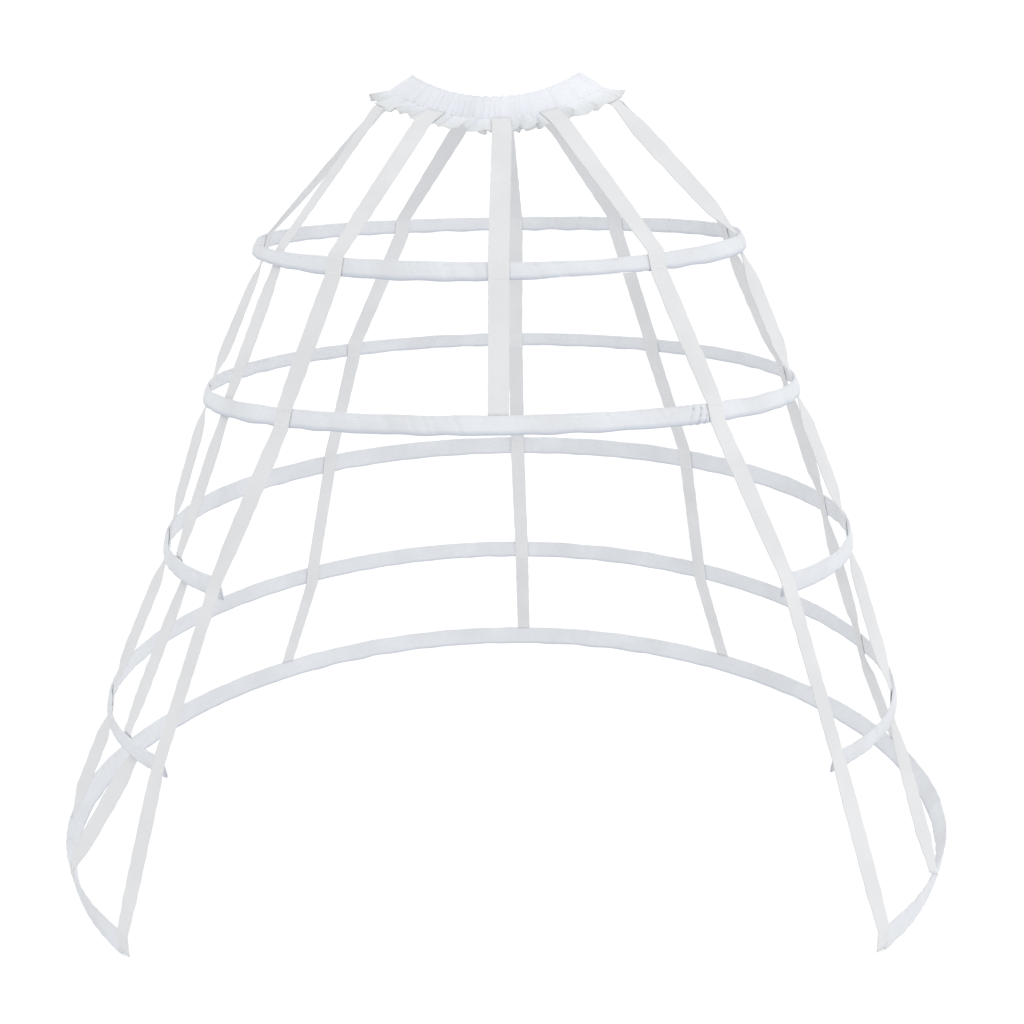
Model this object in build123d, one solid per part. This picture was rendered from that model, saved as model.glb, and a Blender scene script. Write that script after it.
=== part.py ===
from build123d import *
# Open-front crinoline cage.
#
# Five boned hoops hang on ten cotton tapes from a gathered waistband. The two upper hoops are
# closed rings, and the three lower ones are open at the front between two front tapes, so that
# the wearer can walk and the front of the skirt stays flat.
#
# Frame: millimetres, +Z up, the front faces -Y, +X is the right-hand side seen from the front.
# Origin: centre of the waist opening, level with the front of the seam between the waistband's
# casing and its frill. An azimuth is 0 at the front and grows towards +X, so 180 is the back.

import os
from collections import namedtuple
from math import ceil, cos, degrees, exp, hypot, radians, sin

os.makedirs("parts", exist_ok=True)

# ---------------------------------------------------------------- cloth and clearances
soft_gap = 0.3               # between two pieces of cloth that lie on each other
casing_thickness = 5.0       # hoop casing, through both layers and the bone
casing_wall = 0.9            # one folded layer of casing cloth
casing_end_seam = 3.0        # stitched-shut length at the end of an open casing
tape_width = 20.0
tape_thickness = 1.4
edge_margin = 1.0            # a tape turns this far above or below a casing
tape_tail = 2.0              # how far a front side tape hangs below the hem hoop
casing_behind_tape = 3.0     # an open casing runs this far past a front tape's centre line

# ---------------------------------------------------------------- how bands and tapes are drawn
section_step = 9.0           # largest azimuth step between the sections of a band
arc_span = 90.0              # largest azimuth span of one smooth stretch of a band
tape_step = 35.0             # spacing of the sections of a tape along its runs

# ---------------------------------------------------------------- bones
bone_width = 10.0
bone_thickness = 1.0
sleeve_wall = 0.4            # wall of a bone connector or a bone tip
sleeve_slip = 0.1            # bone to sleeve
connector_length = 34.0
bone_butt_gap = 2.0          # between the two ends of a closed bone
connector_azimuth = 36.0     # where the closed bones are joined, beside the right front tape
tip_length = 14.0
tip_nose = 2.0               # solid end of a bone tip
tip_to_seam = 6.0            # bone tip to the stitched-shut end of its channel
mouth_overrun = 1.0          # degrees that a sleeve's pocket is cut past its open mouth

# ---------------------------------------------------------------- waistband
band_thickness = 5.0         # gathered casing round the elastic
frill_thickness = 3.0
elastic_thickness = 1.4
elastic_top_inset = 3.0      # channel below the top edge, measured down the slope
elastic_seam_inset = 2.0     # channel above the seam, measured down the slope

# A waist ring is an ellipse whose level rises from front and back to the sides.
Ring = namedtuple("Ring", "half_width half_depth level side_rise")
waist_top = Ring(half_width=93.0, half_depth=100.0, level=21.5, side_rise=30.0)
waist_seam = Ring(half_width=119.0, half_depth=114.0, level=0.0, side_rise=36.0)
waist_hem = Ring(half_width=149.0, half_depth=140.0, level=-13.0, side_rise=38.0)

# ---------------------------------------------------------------- hoops
# drop: centre below the origin. tilt: how far the front hangs lower, in degrees. bow: how far the
# front and back stand above the hoop's mean level, and the sides below it. offset: sideways hang.
# lean: how far the casing's upper edge tips outwards, in degrees. flare: how much further it tips
# on both sides of the hoop near the azimuth flare_at.
Hoop = namedtuple("Hoop", "drop half_width half_depth tilt bow offset casing_height is_open "
                          "lean flare flare_at")
hoops = {
    1: Hoop(128.5, 274.5, 283.0, 2.8, -2.3, 0.0, 19.0, False, -18.0, 0.0, 0.0),
    2: Hoop(285.0, 341.0, 311.5, 0.7, 3.8, 0.0, 19.0, False, -18.0, 0.0, 0.0),
    3: Hoop(453.0, 401.5, 400.5, -0.2, 6.0, 5.0, 27.0, True, -15.0, 30.0, 48.0),
    4: Hoop(633.0, 470.5, 456.0, -1.0, 12.2, -5.0, 27.0, True, -15.0, 30.0, 48.0),
    5: Hoop(797.0, 525.0, 550.5, -2.1, 7.8, -2.0, 28.0, True, 0.0, 22.0, 80.0),
}
flare_width = 24.0           # degrees of azimuth over which a flare fades

# ---------------------------------------------------------------- tapes
# Azimuth where each tape meets the waistband, then hoop 1, hoop 2 and so on down to its last hoop.
# An outer tape lies on the outside of the frill and the casings, any other on the inside. A tape
# ends sewn into the upper edge of its last casing, unless it is an outer one that reaches the hem.
Tape = namedtuple("Tape", "azimuths outer")
tapes = {
    "tape_front_centre": Tape((3, 1, 0.5), True),
    "tape_front_left": Tape((-31, -34, -38, -44, -44.5, -44), True),
    "tape_front_right": Tape((28, 34.5, 39, 42.5, 45, 44.5), True),
    "tape_side_front_left": Tape((-60, -56, -58.5, -59.5, -56, -63), False),
    "tape_side_front_right": Tape((62, 75, 81, 81, 72, 60), False),
    "tape_side_back_left": Tape((-110, -94.5, -79, -79.5, -76.5, -78), False),
    "tape_side_back_right": Tape((106, 101, 95.5, 98.5, 98.5, 99.5), False),
    "tape_back_left": Tape((-157, -150.5, -142.5, -139, -141, -137.5), False),
    "tape_back_right": Tape((149, 146.5, 143.5, 140.5, 141, 139.5), False),
    "tape_back_centre": Tape((176.5, 176.5, 177.5, 178.5, 177, 177.5), False),
}
last_hoop = max(hoops)


# ================================================================ bands
def arc_of(section, start, end):
    """Smooth stretch of a band; section(azimuth) gives the corners of its cross-section."""
    steps = max(2, ceil((end - start) / section_step))
    faces = [make_face(Polyline(*section(start + (end - start) * k / steps), close=True))
             for k in range(steps + 1)]
    return loft(faces)


def band_of(section, start=0.0, end=360.0):
    """Band round the axis between two azimuths, closed by default."""
    arcs = ceil((end - start) / arc_span)
    cuts = [start + (end - start) * k / arcs for k in range(arcs + 1)]
    band = arc_of(section, cuts[0], cuts[1])
    for first, second in zip(cuts[1:-1], cuts[2:]):
        band += arc_of(section, first, second)
    return band


# ================================================================ waistband geometry
def ring_radius(ring, azimuth):
    """Distance from the axis to a waist ring, seen from above."""
    across = ring.half_depth * sin(radians(azimuth))
    along = ring.half_width * cos(radians(azimuth))
    return ring.half_width * ring.half_depth / hypot(across, along)


def ring_point(ring, azimuth, out=0.0, up=0.0):
    """Point on a waist ring, moved outwards and upwards."""
    angle = radians(azimuth)
    radius = ring_radius(ring, azimuth) + out
    height = ring.level + ring.side_rise * sin(angle) ** 2 + up
    return Vector(radius * sin(angle), -radius * cos(angle), height)


def slope_point(high_ring, low_ring, azimuth, distance, out):
    """Point on the slope from one ring to the next, a given distance down from the upper one."""
    start = ring_point(high_ring, azimuth, out)
    run = ring_point(low_ring, azimuth, out) - start
    return start + run.normalized() * distance


def waistband_section(azimuth):
    """Casing above the seam, frill below it."""
    band = band_thickness / 2
    frill = frill_thickness / 2
    return [ring_point(waist_top, azimuth, -band), ring_point(waist_top, azimuth, band),
            ring_point(waist_seam, azimuth, band), ring_point(waist_hem, azimuth, frill),
            ring_point(waist_hem, azimuth, -frill), ring_point(waist_seam, azimuth, -band)]


def elastic_section(azimuth, half_thickness, shrink):
    """Slot for the elastic, or with shrink the elastic in it."""
    seam_distance = (ring_point(waist_seam, azimuth) - ring_point(waist_top, azimuth)).length
    high = elastic_top_inset + shrink
    low = seam_distance - elastic_seam_inset - shrink
    corners = ((high, -half_thickness), (high, half_thickness), (low, half_thickness),
               (low, -half_thickness))
    return [slope_point(waist_top, waist_seam, azimuth, down, out) for down, out in corners]


def make_waistband():
    slot_half = elastic_thickness / 2 + soft_gap
    return band_of(waistband_section) - band_of(
        lambda azimuth: elastic_section(azimuth, slot_half, 0.0))


def make_waist_elastic():
    return band_of(lambda azimuth: elastic_section(azimuth, elastic_thickness / 2, soft_gap))


# ================================================================ hoop geometry
def hoop_lean(hoop, azimuth):
    """How far the casing's upper edge tips outwards, in degrees."""
    from_front = abs((azimuth + 180.0) % 360.0 - 180.0)
    return hoop.lean + hoop.flare * exp(-((from_front - hoop.flare_at) / flare_width) ** 2)


def hoop_point(hoop, azimuth, out=0.0, up=0.0):
    """Point on a hoop's middle line, moved outwards and upwards in the leaning casing's frame."""
    angle = radians(azimuth)
    lean = radians(hoop_lean(hoop, azimuth))
    outward = out * cos(lean) + up * sin(lean)
    upward = up * cos(lean) - out * sin(lean)
    x = (hoop.half_width + outward) * sin(angle)
    y = -(hoop.half_depth + outward) * cos(angle)
    z = hoop.bow * (1 - 2 * (x / hoop.half_width) ** 2) + upward
    tilt = radians(hoop.tilt)
    return Vector(x + hoop.offset,
                  y * cos(tilt) - z * sin(tilt),
                  y * sin(tilt) + z * cos(tilt) - hoop.drop)


def hoop_radius(hoop, azimuth):
    """Distance round the hoop for one radian of azimuth."""
    angle = radians(azimuth)
    return hypot(hoop.half_width * cos(angle), hoop.half_depth * sin(angle))


def turn(hoop, azimuth, distance):
    """Azimuth that lies a distance round the hoop from another one."""
    return azimuth + degrees(distance / hoop_radius(hoop, azimuth))


def hoop_band(hoop, inner, outer, low, high, start=0.0, end=360.0):
    """Band round a hoop between two offsets, two heights and two azimuths."""
    corners = ((inner, low), (outer, low), (outer, high), (inner, high))
    return band_of(lambda azimuth: [hoop_point(hoop, azimuth, out, up) for out, up in corners],
                   start, end)


def open_span(hoop_number, inset=0.0):
    """Start and end azimuth of an open hoop's casing, or of what ends further in behind it."""
    hoop = hoops[hoop_number]
    left = tapes["tape_front_left"].azimuths[hoop_number]
    right = tapes["tape_front_right"].azimuths[hoop_number]
    start = turn(hoop, right, inset - casing_behind_tape)
    return start, turn(hoop, left, casing_behind_tape - inset) + 360.0


channel_half = casing_thickness / 2 - casing_wall
bone_half = bone_thickness / 2
bone_rise = casing_wall + soft_gap + sleeve_wall + sleeve_slip     # casing's lower edge to bone
bone_end_inset = casing_end_seam + tip_to_seam + tip_nose


def bone_levels(hoop):
    """Lower and upper edge of the bone, from the hoop's middle line."""
    low = -hoop.casing_height / 2 + bone_rise
    return low, low + bone_width


def make_casing(number):
    """Cloth tube round the bone, shut at its ends where the hoop is open."""
    hoop = hoops[number]
    half = hoop.casing_height / 2
    span = open_span(number) if hoop.is_open else ()
    inner_span = open_span(number, casing_end_seam) if hoop.is_open else ()
    body = hoop_band(hoop, -casing_thickness / 2, casing_thickness / 2, -half, half, *span)
    inset = half - casing_wall
    return body - hoop_band(hoop, -channel_half, channel_half, -inset, inset, *inner_span)


def make_bone(number):
    """Flat spring steel strip, butted in a connector or open at the front."""
    hoop = hoops[number]
    if hoop.is_open:
        start, end = open_span(number, bone_end_inset)
    else:
        start = turn(hoop, connector_azimuth, bone_butt_gap / 2)
        end = turn(hoop, connector_azimuth, -bone_butt_gap / 2) + 360.0
    return hoop_band(hoop, -bone_half, bone_half, *bone_levels(hoop), start, end)


def bone_sleeve(hoop, start, end, pocket_start, pocket_end):
    """Flat sleeve round the bone between two azimuths, hollow between two others."""
    low, high = bone_levels(hoop)
    grip = bone_half + sleeve_slip
    skin = grip + sleeve_wall
    outside = hoop_band(hoop, -skin, skin, low - sleeve_slip - sleeve_wall,
                        high + sleeve_slip + sleeve_wall, start, end)
    pocket = hoop_band(hoop, -grip, grip, low - sleeve_slip, high + sleeve_slip,
                       pocket_start, pocket_end)
    return outside - pocket


def make_connector(number):
    """Sleeve open at both ends that joins the two ends of a closed bone."""
    hoop = hoops[number]
    start = turn(hoop, connector_azimuth, -connector_length / 2)
    end = turn(hoop, connector_azimuth, connector_length / 2)
    return bone_sleeve(hoop, start, end, start - mouth_overrun, end + mouth_overrun)


def make_bone_tips():
    """Blind caps on the two ends of each open bone."""
    tips = []
    for number, hoop in hoops.items():
        if not hoop.is_open:
            continue
        for end, inward in zip(open_span(number), (1, -1)):
            nose = turn(hoop, end, inward * (bone_end_inset - tip_nose))
            floor = turn(hoop, end, inward * (bone_end_inset - sleeve_slip))
            mouth = turn(hoop, end, inward * (bone_end_inset - tip_nose + tip_length))
            outer = sorted((nose, mouth))
            pocket = sorted((floor, mouth + inward * mouth_overrun))
            tips.append(bone_sleeve(hoop, *outer, *pocket))
    return Compound(children=tips)


# ================================================================ tapes
def tape_section(point, radius, azimuth, out, up):
    """Corners of a tape's cross-section: its two edges lie on a surface, it is thick outwards."""
    half_angle = degrees(tape_width / 2 / radius)
    first = point(azimuth - half_angle, out, up)
    second = point(azimuth + half_angle, out, up)
    outward = point(azimuth, out + tape_thickness, up) - point(azimuth, out, up)
    return [first, second, second + outward, first + outward]


def tape_offset(outer, surface, radius):
    """Offset of a tape's inner face, so that it clears a surface this far from a middle line."""
    if outer:
        chord_sag = radius - (radius ** 2 - (tape_width / 2) ** 2) ** 0.5
        return surface + soft_gap + chord_sag
    return -surface - soft_gap - tape_thickness


def waist_sections(tape):
    """Top of the tape at the seam, and where it leaves the frill."""
    azimuth = tape.azimuths[0]
    sections = []
    for ring, thickness, drop in ((waist_seam, band_thickness, 0.0),
                                  (waist_hem, frill_thickness, edge_margin)):
        radius = ring_radius(ring, azimuth)
        out = tape_offset(tape.outer, thickness / 2, radius)
        if tape.outer:
            drop = 0.0               # stays on the outside of the frill down to its edge

        def point(angle, out_by, up_by, ring=ring):
            return ring_point(ring, angle, out_by, up_by)

        sections.append(tape_section(point, radius, azimuth, out, -drop))
    return sections


def hoop_sections(tape, number):
    """Where the tape meets the upper and lower edge of a casing."""
    hoop = hoops[number]
    azimuth = tape.azimuths[number]
    radius = hoop_radius(hoop, azimuth)
    half = hoop.casing_height / 2
    out = tape_offset(tape.outer, casing_thickness / 2, radius)
    above = half + edge_margin
    below = -half - edge_margin

    def point(angle, out_by, up_by):
        return hoop_point(hoop, angle, out_by, up_by)

    if number == len(tape.azimuths) - 1 and not (tape.outer and number == last_hoop):
        # sewn into the upper edge of its last casing
        return [tape_section(point, radius, azimuth, -tape_thickness / 2, half + soft_gap)]
    if tape.outer and hoop.is_open and number != last_hoop:
        # touches only the upper edge, which flares out there
        return [tape_section(point, radius, azimuth, out, half)]
    if number == last_hoop:
        below = -half - tape_tail
    return [tape_section(point, radius, azimuth, out, up) for up in (above, below)]


def make_tape(tape):
    """Strip through its sections, with more of them on long runs, where it twists slightly."""
    outlines = waist_sections(tape)
    for number in range(1, len(tape.azimuths)):
        outlines += hoop_sections(tape, number)
    faces = [make_face(Polyline(*outlines[0], close=True))]
    for high, low in zip(outlines, outlines[1:]):
        steps = max(1, round((low[0] - high[0]).length / tape_step))
        for k in range(1, steps + 1):
            corners = [above + (below - above) * k / steps for above, below in zip(high, low)]
            faces.append(make_face(Polyline(*corners, close=True)))
    return loft(faces, ruled=True)


# ================================================================ export
def main():
    pieces = {"waistband": make_waistband(), "waist_elastic": make_waist_elastic()}
    for number, hoop in hoops.items():
        pieces[f"hoop_{number}_casing"] = make_casing(number)
        pieces[f"hoop_{number}_bone"] = make_bone(number)
        if not hoop.is_open:
            pieces[f"hoop_{number}_bone_connector"] = make_connector(number)
    pieces["bone_tips"] = make_bone_tips()
    for name, tape in tapes.items():
        pieces[name] = make_tape(tape)
    for name, piece in pieces.items():
        export_step(piece, f"parts/{name}.step")
        print(name, round(piece.volume / 1000, 2), "cm3")


main()
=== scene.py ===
from collections import namedtuple
from functools import partial
from math import pi, radians

import bmesh
import bpy
import numpy as np
from mathutils import Matrix, Vector


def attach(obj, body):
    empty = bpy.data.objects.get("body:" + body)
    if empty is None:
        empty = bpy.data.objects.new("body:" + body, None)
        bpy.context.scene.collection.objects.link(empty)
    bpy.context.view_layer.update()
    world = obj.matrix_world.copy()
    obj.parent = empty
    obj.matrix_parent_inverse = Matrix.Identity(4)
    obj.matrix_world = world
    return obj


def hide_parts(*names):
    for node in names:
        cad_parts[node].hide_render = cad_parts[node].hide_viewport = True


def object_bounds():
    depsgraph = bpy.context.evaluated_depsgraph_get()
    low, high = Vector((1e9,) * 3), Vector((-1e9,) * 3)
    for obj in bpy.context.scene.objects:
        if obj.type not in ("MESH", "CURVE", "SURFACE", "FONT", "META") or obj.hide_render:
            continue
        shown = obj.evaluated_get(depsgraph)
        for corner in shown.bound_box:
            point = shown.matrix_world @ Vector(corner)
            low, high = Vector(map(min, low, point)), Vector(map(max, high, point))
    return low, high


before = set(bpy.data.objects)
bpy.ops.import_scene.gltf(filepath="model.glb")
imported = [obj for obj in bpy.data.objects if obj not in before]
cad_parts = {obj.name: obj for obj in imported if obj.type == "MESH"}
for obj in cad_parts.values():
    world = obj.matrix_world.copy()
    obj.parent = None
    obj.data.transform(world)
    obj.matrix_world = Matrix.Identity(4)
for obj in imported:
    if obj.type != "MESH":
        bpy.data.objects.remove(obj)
cad_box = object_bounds()

MM = 0.001

# ---------------------------------------------------------------- sizes shared with the CAD model
SOFT_GAP = 0.3 * MM              # between two pieces of cloth that lie on each other
CASING_HALF = 2.5 * MM           # half the thickness of a hoop casing
TAPE_WIDTH = 20.0 * MM
EDGE_MARGIN = 1.0 * MM           # a tape turns this far above or below a casing
CASING_BEHIND_TAPE = 3.0 * MM    # an open casing runs this far past a front tape's centre line
BAND_HALF = 2.5 * MM             # half the thickness of the gathered waist casing
FRILL_HALF = 1.5 * MM

Ring = namedtuple("Ring", "half_width half_depth level side_rise")
WAIST_TOP = Ring(0.093, 0.100, 0.0215, 0.030)
WAIST_SEAM = Ring(0.119, 0.114, 0.0, 0.036)
WAIST_HEM = Ring(0.149, 0.140, -0.013, 0.038)

Hoop = namedtuple("Hoop", "drop half_width half_depth tilt bow offset casing_height is_open "
                          "lean flare flare_at")
HOOPS = {
    1: Hoop(0.1285, 0.2745, 0.2830, 2.8, -0.0023, 0.0, 0.019, False, -18, 0, 0),
    2: Hoop(0.2850, 0.3410, 0.3115, 0.7, 0.0038, 0.0, 0.019, False, -18, 0, 0),
    3: Hoop(0.4530, 0.4015, 0.4005, -0.2, 0.0060, 0.005, 0.027, True, -15, 30, 48),
    4: Hoop(0.6330, 0.4705, 0.4560, -1.0, 0.0122, -0.005, 0.027, True, -15, 30, 48),
    5: Hoop(0.7970, 0.5250, 0.5505, -2.1, 0.0078, -0.002, 0.028, True, 0, 22, 80),
}
FLARE_WIDTH = 24                 # degrees of azimuth over which a casing's flare fades
LAST_HOOP = max(HOOPS)

# Azimuths at the waistband and at each hoop on the way down. An outer tape lies on the outside of
# the frill and the casings. twist: how far each free run turns towards the front, in degrees.
Tape = namedtuple("Tape", "azimuths outer twist")
TAPES = {
    "tape_front_centre": Tape((3, 1, 0.5), True, (0, 0)),
    "tape_front_left": Tape((-31, -34, -38, -44, -44.5, -44), True, (4, 6, 10, 0, 8)),
    "tape_front_right": Tape((28, 34.5, 39, 42.5, 45, 44.5), True, (2, 6, 8, 0, 8)),
    "tape_side_front_left": Tape((-60, -56, -58.5, -59.5, -56, -63), False,
                                 (-2, 12, 12, 12, 30)),
    "tape_side_front_right": Tape((62, 75, 81, 81, 72, 60), False, (42, 38, 38, 36, 24)),
    "tape_side_back_left": Tape((-110, -94.5, -79, -79.5, -76.5, -78), False,
                                (-4, 34, 30, 32, 40)),
    "tape_side_back_right": Tape((106, 101, 95.5, 98.5, 98.5, 99.5), False,
                                 (-18, -28, -26, -24, -22)),
    "tape_back_left": Tape((-157, -150.5, -142.5, -139, -141, -137.5), False, (0, 0, 0, 0, 0)),
    "tape_back_right": Tape((149, 146.5, 143.5, 140.5, 141, 139.5), False, (0, 0, 0, 0, 0)),
    "tape_back_centre": Tape((176.5, 176.5, 177.5, 178.5, 177, 177.5), False, (6, 0, 0, 0, 0)),
}

# ---------------------------------------------------------------- cloth
CASING_CLOTH = 0.55 * MM         # thickness of the casings' cotton
WAIST_CLOTH = 0.45 * MM
TAPE_CLOTH = 1.0 * MM
TAPE_END_LIFT = 9.0 * MM         # an outer tape ends this far above the hem casing's lower edge

STEP = 4.0 * MM                  # spacing of the mesh along open casings and tapes
FINE_STEP = 1.8 * MM             # and along the closed casings, one of which has a bunched joint
WAIST_STEP = 1.35 * MM           # and round the frill's hem


# ================================================================ frame geometry
def spaced(start, end, step):
    """Evenly spaced values from start to end, about a step apart."""
    return np.linspace(start, end, max(2, int(round(abs(end - start) / step)) + 1))


def hoop_lean(hoop, azimuth):
    """How far a casing's upper edge tips outwards."""
    from_front = np.degrees(np.abs((azimuth + pi) % (2 * pi) - pi))
    return np.radians(hoop.lean + hoop.flare * bump(from_front, hoop.flare_at, FLARE_WIDTH))


def hoop_point(hoop, azimuth, out=0.0, up=0.0):
    """Points on a hoop's middle line, moved outwards and upwards in the leaning casing's frame."""
    lean = hoop_lean(hoop, azimuth)
    outward = out * np.cos(lean) + up * np.sin(lean)
    upward = up * np.cos(lean) - out * np.sin(lean)
    x = (hoop.half_width + outward) * np.sin(azimuth)
    y = -(hoop.half_depth + outward) * np.cos(azimuth)
    z = hoop.bow * (1 - 2 * (x / hoop.half_width) ** 2) + upward
    tilt = radians(hoop.tilt)
    return np.stack((x + hoop.offset,
                     y * np.cos(tilt) - z * np.sin(tilt),
                     y * np.sin(tilt) + z * np.cos(tilt) - hoop.drop), axis=-1)


def hoop_radius(hoop, azimuth):
    """Distance round the hoop for one radian of azimuth."""
    return np.hypot(hoop.half_width * np.cos(azimuth), hoop.half_depth * np.sin(azimuth))


def turn(hoop, azimuth, distance):
    """Azimuth that lies a distance round the hoop from another one."""
    return azimuth + distance / hoop_radius(hoop, azimuth)


def ring_radius(ring, azimuth):
    """Distance from the axis to a waist ring, seen from above."""
    return ring.half_width * ring.half_depth / np.hypot(ring.half_depth * np.sin(azimuth),
                                                        ring.half_width * np.cos(azimuth))


def ring_point(ring, azimuth, out=0.0, up=0.0):
    """Points on a waist ring, moved outwards and upwards."""
    radius = ring_radius(ring, azimuth) + out
    height = ring.level + ring.side_rise * np.sin(azimuth) ** 2 + up
    return np.stack((radius * np.sin(azimuth), -radius * np.cos(azimuth), height), axis=-1)


def open_span(number):
    """First and last azimuth of an open hoop's casing."""
    hoop = HOOPS[number]
    left = radians(TAPES["tape_front_left"].azimuths[number])
    right = radians(TAPES["tape_front_right"].azimuths[number])
    return turn(hoop, right, -CASING_BEHIND_TAPE), turn(hoop, left, CASING_BEHIND_TAPE) + 2 * pi


def unit(vectors):
    """The same directions, one metre long."""
    return vectors / np.linalg.norm(vectors, axis=-1, keepdims=True)


# ================================================================ wrinkles
def ripple(angle, count, seed, spread=0.35, terms=7):
    """Uneven waves, about count of them in a full turn, that close on themselves."""
    random = np.random.default_rng(seed)
    counts = np.round(count * (1 + spread * random.uniform(-1, 1, terms)))
    phases = random.uniform(0, 2 * pi, terms)
    return sum(np.sin(n * angle + phase) for n, phase in zip(counts, phases)) / terms ** 0.5


def bump(value, centre, width):
    """One at the centre, falling to nothing about a width away."""
    return np.exp(-((value - centre) / width) ** 2)


def angle_gap(first, second):
    """Signed difference of two angles, between minus and plus half a turn."""
    return (first - second + pi) % (2 * pi) - pi


def smooth_step(value, start, end):
    """Nothing before start, one after end, and a smooth rise between."""
    share = np.clip((value - start) / (end - start), 0, 1)
    return share * share * (3 - 2 * share)


# ================================================================ meshes
def mesh_piece(name, mesh, material):
    """Object for a finished mesh, shaded smooth, that rides on the cage's one body."""
    piece = bpy.data.objects.new(name, mesh)
    bpy.context.scene.collection.objects.link(piece)
    mesh.materials.append(material)
    mesh.shade_smooth()
    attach(piece, "root")
    return piece


def cloth_piece(name, grid, along, across, material, thickness, offset=-1.0,
                closed_along=False, closed_across=False):
    """Sheet through a grid of points, with its own lengths as UVs in metres.

    along and across have one value more than the grid where that way is closed.
    """
    rows, columns = grid.shape[:2]
    mesh = bpy.data.meshes.new(name)
    row_steps = rows if closed_along else rows - 1
    column_steps = columns if closed_across else columns - 1
    row, column = np.meshgrid(np.arange(row_steps), np.arange(column_steps), indexing="ij")
    row, column = row.ravel(), column.ravel()
    next_row, next_column = (row + 1) % rows, (column + 1) % columns
    faces = np.stack((row * columns + column, row * columns + next_column,
                      next_row * columns + next_column, next_row * columns + column), axis=1)
    mesh.from_pydata(grid.reshape(-1, 3), [], faces.tolist())
    u = np.stack((along[row], along[row], along[row + 1], along[row + 1]), axis=1)
    v = np.stack((across[column], across[column + 1], across[column + 1], across[column]), axis=1)
    layer = mesh.uv_layers.new(name="cloth")
    layer.uv.foreach_set("vector", np.stack((u, v), axis=-1).ravel())
    build = bmesh.new()
    build.from_mesh(mesh)
    bmesh.ops.recalc_face_normals(build, faces=build.faces)
    build.to_mesh(mesh)
    build.free()
    piece = mesh_piece(name, mesh, material)
    solid = piece.modifiers.new("cloth thickness", "SOLIDIFY")
    solid.thickness = thickness
    solid.offset = offset
    return piece


def lengths(points):
    """Distance along a line of points, from nothing at its first one."""
    steps = np.linalg.norm(np.diff(points, axis=0), axis=1)
    return np.concatenate(([0.0], np.cumsum(steps)))


# ================================================================ materials
class Nodes:
    """Small helper that adds shader nodes and joins them."""

    def __init__(self, name):
        self.material = bpy.data.materials.new(name)
        self.material.use_nodes = True
        self.tree = self.material.node_tree
        self.shader = self.tree.nodes["Principled BSDF"]

    def add(self, kind, **settings):
        """Node with its settings, and its inputs where a value or a socket is named by number."""
        node = self.tree.nodes.new(kind)
        inputs = settings.pop("inputs", {})
        for key, value in settings.items():
            setattr(node, key, value)
        for key, value in inputs.items():
            if isinstance(value, bpy.types.NodeSocket):
                self.tree.links.new(value, node.inputs[key])
            else:
                node.inputs[key].default_value = value
        return node

    def math(self, operation, first, second=0.0, third=0.0):
        """Output of a math node."""
        node = self.add("ShaderNodeMath", operation=operation,
                        inputs={0: first, 1: second, 2: third})
        return node.outputs[0]

    def mix(self, factor, first, second):
        """Colour between two others."""
        node = self.add("ShaderNodeMix", data_type="RGBA",
                        inputs={0: factor, 6: first, 7: second})
        return node.outputs[2]

    def noise(self, scale, detail=2.0):
        """Value of a noise in the object's own space."""
        place = self.add("ShaderNodeTexCoord").outputs["Object"]
        return self.add("ShaderNodeTexNoise",
                        inputs={"Vector": place, "Scale": scale, "Detail": detail}).outputs[0]

    def spread(self, value, low, high):
        """The part of a noise between low and high, stretched over the whole range."""
        return self.add("ShaderNodeMapRange",
                        inputs={"Value": value, "From Min": low, "From Max": high}).outputs[0]

    def bump(self, height, distance, strength=1.0, normal=None):
        """Surface normal after a relief, in metres."""
        inputs = {"Height": height, "Distance": distance, "Strength": strength}
        if normal is not None:
            inputs["Normal"] = normal
        return self.add("ShaderNodeBump", inputs=inputs).outputs[0]

    def set(self, socket, value):
        """Value or link on one of the shader's own sockets."""
        if isinstance(value, bpy.types.NodeSocket):
            self.tree.links.new(value, self.shader.inputs[socket])
        else:
            self.shader.inputs[socket].default_value = value


def cloth_uv(nodes):
    """Lengths along and across the cloth, in metres."""
    uv = nodes.add("ShaderNodeUVMap", uv_map="cloth").outputs[0]
    parts = nodes.add("ShaderNodeSeparateXYZ", inputs={0: uv})
    return parts.outputs[0], parts.outputs[1]


def wave(nodes, length, pitch):
    """Sine along a length, one wave for each pitch."""
    return nodes.math("SINE", nodes.math("MULTIPLY", length, 2 * pi / pitch))


Weave = namedtuple("Weave", "twill relief crease_detail creases specular sheen")
PLAIN = Weave(False, 0.7, 3.0, 0.7, 0.25, 0.12)
HERRINGBONE = Weave(True, 0.12, 1.0, 0.25, 0.05, 0.0)    # weaker, or narrow tapes come out speckled
HERRINGBONE_ROW = 5.0 * MM       # width of one row of the zigzag
WEAVE_DEPTH = 0.05 * MM
CREASE_DEPTH = 0.9 * MM


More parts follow.
